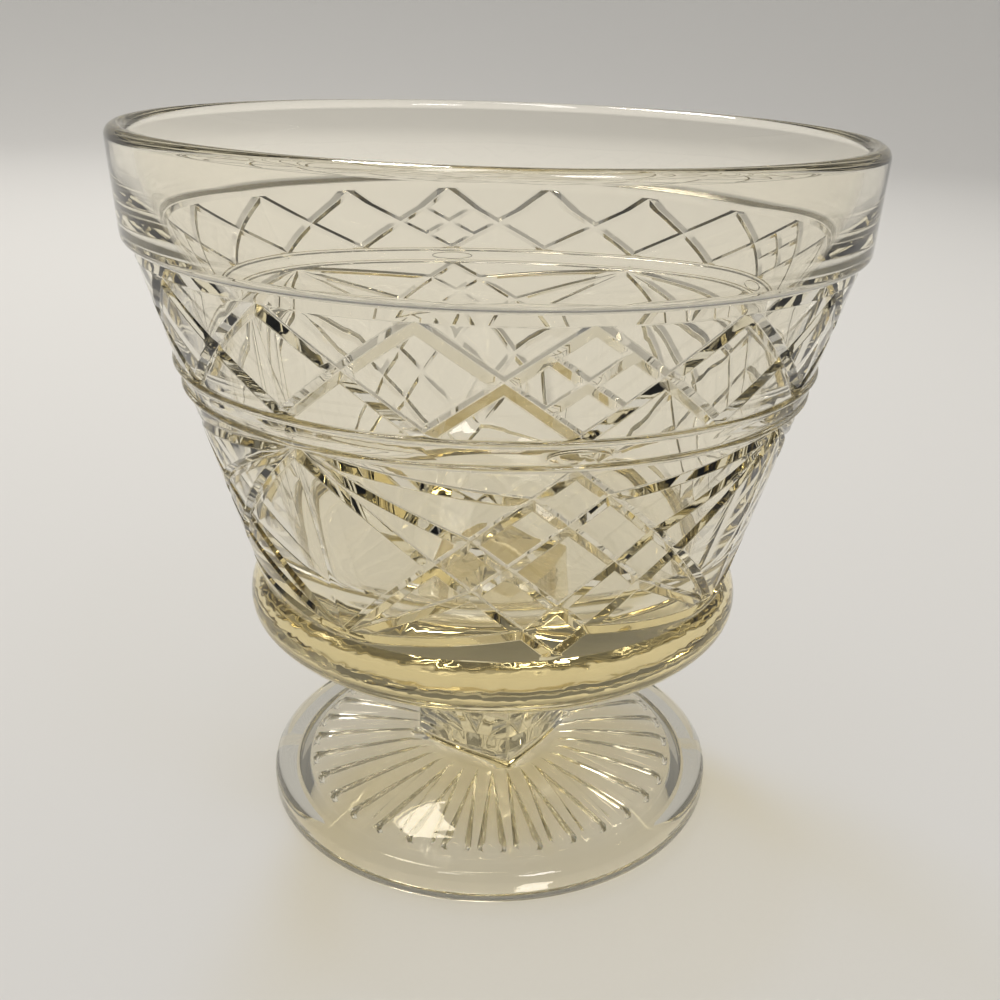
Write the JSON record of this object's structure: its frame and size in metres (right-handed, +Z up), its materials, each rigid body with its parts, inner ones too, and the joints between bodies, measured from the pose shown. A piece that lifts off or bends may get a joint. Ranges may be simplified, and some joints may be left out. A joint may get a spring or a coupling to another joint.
{
  "type": "footed dessert goblet",
  "caption": "Pressed clear glass goblet: flared bowl with diamond-cut bands under a plain rim, thick collar, short square stem and round rayed foot.",
  "frame": {"origin": "on the goblet's axis, in the plane that the foot rests on", "axes": "+Z up along the axis of the bowl, -Y towards the viewer of the picture"},
  "size_m": [0.0924, 0.0924, 0.092],
  "materials": {
    "bowl": "gloss",
    "collar": "gloss",
    "stem": "gloss",
    "foot": "gloss"
  },
  "bodies": {
    "root": {"bowl": "bowl", "collar": "collar", "stem": "stem", "foot": "foot"}
  },
  "joints": []
}
